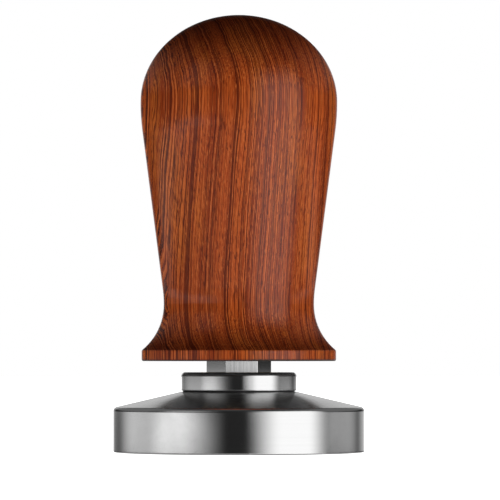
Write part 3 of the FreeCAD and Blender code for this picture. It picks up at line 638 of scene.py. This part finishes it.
def make_rosewood():
    """Satin-lacquered rosewood, with painted shade on faces that turn up or down, along the lower edge and
    underneath.
    """
    material, tree, shader = new_finish("rosewood", Coat_Roughness=0.15, Coat_IOR=1.5,
                                        Specular_IOR_Level=0.0)
    whole = place_in_mm(tree)
    marks, lines, fibres = wood_marks(tree, cut_block(tree, whole))
    colour = wood_colour(tree, marks, lines, fibres)
    facing = facing_up(tree)
    # Faces that turn up or down darken: end grain drinking more stain, and painted shade where little light
    # falls.
    end_grain_and_shade = soft_step(tree, maths(tree, "ABSOLUTE", facing), 0.18, 0.95)
    stained_and_shaded = add_node(tree, "ShaderNodeMix", {"data_type": "RGBA", "blend_type": "MULTIPLY"},
                        i0=end_grain_and_shade, i6=colour, i7=END_GRAIN_STAIN_AND_SHADE)
    height = add_node(tree, "ShaderNodeSeparateXYZ", Vector=whole).outputs["Z"]
    # A dark line along the lower edge is painted shade, under the band where little light reaches.
    lower_edge_shade = soft_step(tree, height, EDGE_SHADE_TOP, LOWER_EDGE, high=0.75)
    colour = blend_colours(tree, lower_edge_shade, stained_and_shaded.outputs[2], DARK_VEIN_AND_SHADE)
    # The underside, facing down, is painted dark as shade.
    colour = blend_colours(tree, soft_step(tree, facing, -0.15, -0.7), colour, UNDERSIDE_SHADE)
    lacquer = soft_step(tree, end_grain_and_shade, 0.0, 0.8, FULL_LACQUER, THIN_LACQUER)
    tree.links.new(lacquer, shader.inputs["Coat Weight"])
    rough = soft_step(tree, fibres, 0.3, 0.7, 0.42, 0.52)
    sunk = maths(tree, "SUBTRACT", share(tree, fibres, 0.3), marks["pores"])
    wire_up(tree, shader, colour, rough, sunk, 0.02 * MM, strength=0.4)
    return material


wood = make_rosewood()
print("rosewood:", len(wood.node_tree.nodes), "nodes")

# %% [markdown]
# ## Turned steel
# The foot is turned and then polished nearly to a mirror. A plain mirror looks false, so the roughness
# varies a little with the grooves, the smears and the scratches. Edges are rubbed duller, and level faces,
# where dust settles, are a little duller too. The washers inside have the same finish with less polish, so
# one function makes both.

# %% Turned steel
EDGE_DULLING = 0.5
LEVEL_DULLING = 0.09
PALE_RING, DEEP_RING = 1.03, 0.96


def make_steel(name, tint, roughness, spread, grooves, groove_depth):
    """Turned steel: tint, middle roughness, how far it varies, grooves per mm and their depth."""
    material, tree, shader = new_finish(name, Metallic=1.0)
    place = place_in_mm(tree)
    turning = use_group(tree, turning_marks, Place=place, Grooves_per_mm=grooves, Waver=0.15)
    handling = use_group(tree, handling_marks, Place=place)
    pale = tuple(min(1, c * PALE_RING) for c in tint) + (1,)
    deep = tuple(c * DEEP_RING for c in tint) + (1,)
    colour = blend_colours(tree, turning["Shade"], deep, pale)
    level = soft_step(tree, maths(tree, "ABSOLUTE", facing_up(tree)), 0.6, 0.95)
    rough = add_up(tree, [
        share(tree, level, LEVEL_DULLING),
        share(tree, maths(tree, "SUBTRACT", turning["Shade"], 0.5), spread),
        share(tree, handling["Smears"], spread),
        share(tree, handling["Scratches"], spread),
        share(tree, use_group(tree, worn_edges, Place=place)["Edge"], EDGE_DULLING),
        roughness,
    ])
    height = maths(tree, "SUBTRACT", turning["Height"], share(tree, handling["Scratches"], 0.5))
    wire_up(tree, shader, colour, rough, height, groove_depth)
    return material


polished = make_steel("polished_steel", tint=(0.60, 0.60, 0.60), roughness=0.10, spread=0.02,
                      grooves=8.0, groove_depth=0.0004 * MM)
satin = make_steel("satin_steel", tint=(0.60, 0.60, 0.61), roughness=0.30, spread=0.10,
                   grooves=5.0, groove_depth=0.001 * MM)
print("turned steel:", polished.name, "and", satin.name)

# %% [markdown]
# ## Ground steel
# The stem is a hexagonal bar whose flats are ground along their length, which leaves fine straight lines.
# Anisotropy could spread the reflection sideways, but lines long in height and thin across do it as
# they do in steel, through the bump, and keep each flat's own even grey.


# %% Ground steel
def make_ground_steel():
    """The stem's flats, ground along their length, so reflections spread sideways."""
    material, tree, shader = new_finish("ground_steel", Metallic=1.0)
    place = place_in_mm(tree)
    fine = noise(tree, place, (14, 14, 0.25), detail=2, roughness=0.6)
    broad = noise(tree, place, (2.5, 2.5, 0.06), detail=3, roughness=0.6)
    streaks = soft_step(tree, broad, 0.3, 0.7)
    colour = blend_colours(tree, streaks, (0.69, 0.69, 0.69, 1), (0.74, 0.74, 0.738, 1))
    rough = soft_step(tree, broad, 0.3, 0.7, 0.075, 0.06)
    wire_up(tree, shader, colour, rough, fine, 0.0001 * MM)
    return material


ground = make_ground_steel()
print("ground steel:", len(ground.node_tree.nodes), "nodes")

# %% [markdown]
# ## Black oxide
# The housing and the screws are blackened in a hot bath, which keeps rust off. The housing's black under the
# handle is partly painted shade, so that the space there reads dark. The layer is thin, so it is nearly black
# with a faint sheen, and grey where edges and scratches rub through it. A low Metallic value keeps the sheen
# faint.

# %% Black oxide
BLACK, BLACK_PALE = (0.055, 0.055, 0.057, 1), (0.085, 0.085, 0.088, 1)
RUBBED_THROUGH, SCRATCHED = (0.16, 0.16, 0.165, 1), (0.2, 0.2, 0.2, 1)


def make_black_oxide():
    """Steel blackened in a hot bath: nearly black, with a faint sheen and grey where it is rubbed."""
    material, tree, shader = new_finish("black_oxide", Metallic=0.1)
    place = place_in_mm(tree)
    turning = use_group(tree, turning_marks, Place=place, Grooves_per_mm=4.0)
    handling = use_group(tree, handling_marks, Place=place)
    edge = use_group(tree, worn_edges, Place=place)["Edge"]
    colour = blend_colours(tree, turning["Shade"], BLACK, BLACK_PALE)
    colour = blend_colours(tree, share(tree, edge, 0.6), colour, RUBBED_THROUGH)
    colour = blend_colours(tree, share(tree, handling["Scratches"], 0.6), colour, SCRATCHED)
    rough = soft_step(tree, handling["Smears"], 0.0, 1.0, 0.42, 0.52)
    wire_up(tree, shader, colour, rough, turning["Height"], 0.001 * MM)
    return material


black = make_black_oxide()
print("black oxide:", len(black.node_tree.nodes), "nodes")

# %% [markdown]
# ## Brass
# The guide nut, the preload plug and its lock ring are turned brass, which slides well on steel. It has gone
# a little brown where fingers and grease reached it, so the smears carry a brown colour and more roughness.

# %% Brass
BRASS_DEEP, BRASS_PALE = (0.62, 0.43, 0.17, 1), (0.74, 0.54, 0.25, 1)
BRASS_BROWN = (0.36, 0.22, 0.08, 1)


def make_brass():
    """Turned brass, gone a little brown where fingers and grease reached it."""
    material, tree, shader = new_finish("turned_brass", Metallic=1.0)
    place = place_in_mm(tree)
    turning = use_group(tree, turning_marks, Place=place, Grooves_per_mm=5.0)
    handling = use_group(tree, handling_marks, Place=place, Smear_size_mm=5.0)
    colour = blend_colours(tree, turning["Shade"], BRASS_DEEP, BRASS_PALE)
    colour = blend_colours(tree, share(tree, handling["Smears"], 0.5), colour, BRASS_BROWN)
    rough = soft_step(tree, handling["Smears"], 0.0, 1.0, 0.24, 0.40)
    height = maths(tree, "SUBTRACT", turning["Height"], share(tree, handling["Scratches"], 0.5))
    wire_up(tree, shader, colour, rough, height, 0.0015 * MM)
    return material


brass = make_brass()
print("brass:", len(brass.node_tree.nodes), "nodes")

# %% [markdown]
# ## Spring wire
# Spring wire is drawn through a die and then oiled, so it is a grey-brown steel with fine draw marks. The
# oil lies in smears, darker and less rough than the bare wire.

# %% Spring wire
BARE_WIRE, OILED_WIRE = (0.30, 0.29, 0.28, 1), (0.17, 0.155, 0.14, 1)
DRAW_MARK = (0.40, 0.39, 0.38, 1)


def make_spring_wire():
    """Drawn and oiled spring wire: grey-brown steel with fine draw marks."""
    material, tree, shader = new_finish("spring_wire", Metallic=0.9)
    place = place_in_mm(tree)
    handling = use_group(tree, handling_marks, Place=place, Smear_size_mm=4.0)
    turning = use_group(tree, turning_marks, Place=place, Grooves_per_mm=9.0, Waver=0.4)
    colour = blend_colours(tree, handling["Smears"], BARE_WIRE, OILED_WIRE)
    colour = blend_colours(tree, share(tree, turning["Shade"], 0.4), colour, DRAW_MARK)
    rough = soft_step(tree, handling["Smears"], 0.0, 1.0, 0.28, 0.42)
    wire_up(tree, shader, colour, rough, turning["Height"], 0.0015 * MM)
    return material


wire = make_spring_wire()
print("spring wire:", len(wire.node_tree.nodes), "nodes")

# %% [markdown]
# ## Rubber
# The gasket under the collar and the bumper ring are moulded black rubber: matt, with a fine grain from the
# mould and grey dust in smears. The gasket's black line under the collar is partly painted shade in the seam
# there.
# Its sheen is faint, so its specular level is lowered.

# %% Rubber
RUBBER_DEEP, RUBBER_PALE = (0.010, 0.010, 0.011, 1), (0.020, 0.020, 0.020, 1)
RUBBER_DUST = (0.06, 0.058, 0.055, 1)


def make_rubber():
    """Moulded black rubber: matt, with a fine grain and grey dust."""
    material, tree, shader = new_finish("black_rubber", Specular_IOR_Level=0.35)
    place = place_in_mm(tree)
    handling = use_group(tree, handling_marks, Place=place, Smear_size_mm=6.0)
    grain = noise(tree, place, (9, 9, 9), detail=3, roughness=0.6)
    colour = blend_colours(tree, grain, RUBBER_DEEP, RUBBER_PALE)
    colour = blend_colours(tree, share(tree, handling["Smears"], 0.3), colour, RUBBER_DUST)
    rough = soft_step(tree, handling["Smears"], 0.0, 1.0, 0.60, 0.80)
    wire_up(tree, shader, colour, rough, grain, 0.01 * MM, strength=0.6)
    return material


rubber = make_rubber()
print("rubber:", len(rubber.node_tree.nodes), "nodes")

# %% [markdown]
# ## Dressing the parts
# The frame's parts already have the right shapes, with their rounds, chamfers, sockets and slots, so they
# keep their meshes and only get a finish.

# %% Dress the parts
HOUSING_SCREWS = ("housing_screw_1", "housing_screw_2", "housing_screw_3")
FINISHES = (
    (wood, ("handle",)),
    (polished, ("base", "collar")),
    (ground, ("stem",)),
    (satin, ("stop_washer", "spring_seat", "spring")),
    # The housing's black under the handle is partly painted shade.
    (black, ("spring_housing", "lock_washer", "stop_screw") + HOUSING_SCREWS),
    (brass, ("guide_nut", "preload_plug", "preload_lock_ring")),
    # The gasket's black seam under the collar is partly painted shade.
    (rubber, ("collar_gasket", "bumper_ring")),
)
for material, names in FINISHES:
    for name in names:
        mesh = nodes[name].data
        mesh.materials.clear()
        mesh.materials.append(material)
print("dressed:", sum(len(names) for material, names in FINISHES), "of", len(nodes))

# %% [markdown]
# ## Spring
# The real spring is wound from round wire: a closed turn at each end, open turns between, and the ends ground
# flat so that it stands square on its washer and its seat. A screw modifier could wind it, but only with one
# pitch. So the piece is made as the real one is: one circle of wire is spun round the axis while it climbs,
# slowly in the end turns.

# %% Wind the spring
WIRE = 2.3 * MM
WIRE_SIDES = 20
COIL_RADIUS = 7.61 * MM
SPRING_FOOT = 40.35 * MM
SPRING_LENGTH = 27.0 * MM
END_PITCH = 1.02 * WIRE
OPEN_TURNS = 7
OPEN_PITCH = (SPRING_LENGTH - 2 * END_PITCH) / OPEN_TURNS
STEPS_PER_TURN = 40

bm = bmesh.new()
wire_end = Matrix.Translation((COIL_RADIUS, 0, SPRING_FOOT)) @ Matrix.Rotation(math.radians(90), 4, "X")
bmesh.ops.create_circle(bm, cap_ends=True, segments=WIRE_SIDES, radius=WIRE / 2, matrix=wire_end)
ring = bm.verts[:] + bm.edges[:]
for turns, pitch in ((1, END_PITCH), (OPEN_TURNS, OPEN_PITCH), (1, END_PITCH)):
    spun = bmesh.ops.spin(bm, geom=ring, cent=(0, 0, 0), axis=(0, 0, 1),
                          dvec=(0, 0, pitch / STEPS_PER_TURN), angle=math.tau * turns,
                          steps=STEPS_PER_TURN * turns, use_merge=False)
    ring = [part for part in spun["geom_last"] if not isinstance(part, bmesh.types.BMFace)]
bmesh.ops.edgeloop_fill(bm, edges=[part for part in ring if isinstance(part, bmesh.types.BMEdge)])
print("wound:", len(bm.faces), "faces, open pitch", round(OPEN_PITCH / MM, 3), "mm")

# %% [markdown]
# Two level planes grind the ends flat, as the grinding wheel does, and each cut is closed with a face. The
# spin may turn faces inside out, so the normals are recalculated at the end.

# %% Grind the ends
CUT_TOLERANCE = 1e-7
for height, outwards in ((SPRING_FOOT, (0, 0, -1)), (SPRING_FOOT + SPRING_LENGTH, (0, 0, 1))):
    cut = bmesh.ops.bisect_plane(bm, geom=bm.verts[:] + bm.edges[:] + bm.faces[:], dist=CUT_TOLERANCE,
                                 plane_co=(0, 0, height), plane_no=outwards, clear_outer=True)
    rim = [part for part in cut["geom_cut"] if isinstance(part, bmesh.types.BMEdge) and part.is_boundary]
    bmesh.ops.edgeloop_fill(bm, edges=rim)
bmesh.ops.recalc_face_normals(bm, faces=bm.faces[:])
open_edges = sum(1 for edge in bm.edges if not edge.is_manifold)
for face in bm.faces:
    face.smooth = len(face.verts) <= 4
spring = mesh_object("wound_spring", bm)
spring.data.materials.append(wire)
heights = [corner[2] / MM for corner in spring.bound_box]
print("spring from", round(min(heights), 2), "to", round(max(heights), 2), "mm")
print("faces:", len(spring.data.polygons), "open edges:", open_edges)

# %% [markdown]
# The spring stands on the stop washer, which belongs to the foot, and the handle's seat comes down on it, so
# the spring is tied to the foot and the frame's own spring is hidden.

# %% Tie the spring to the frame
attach(spring, "foot")
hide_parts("spring")
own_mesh(spring)
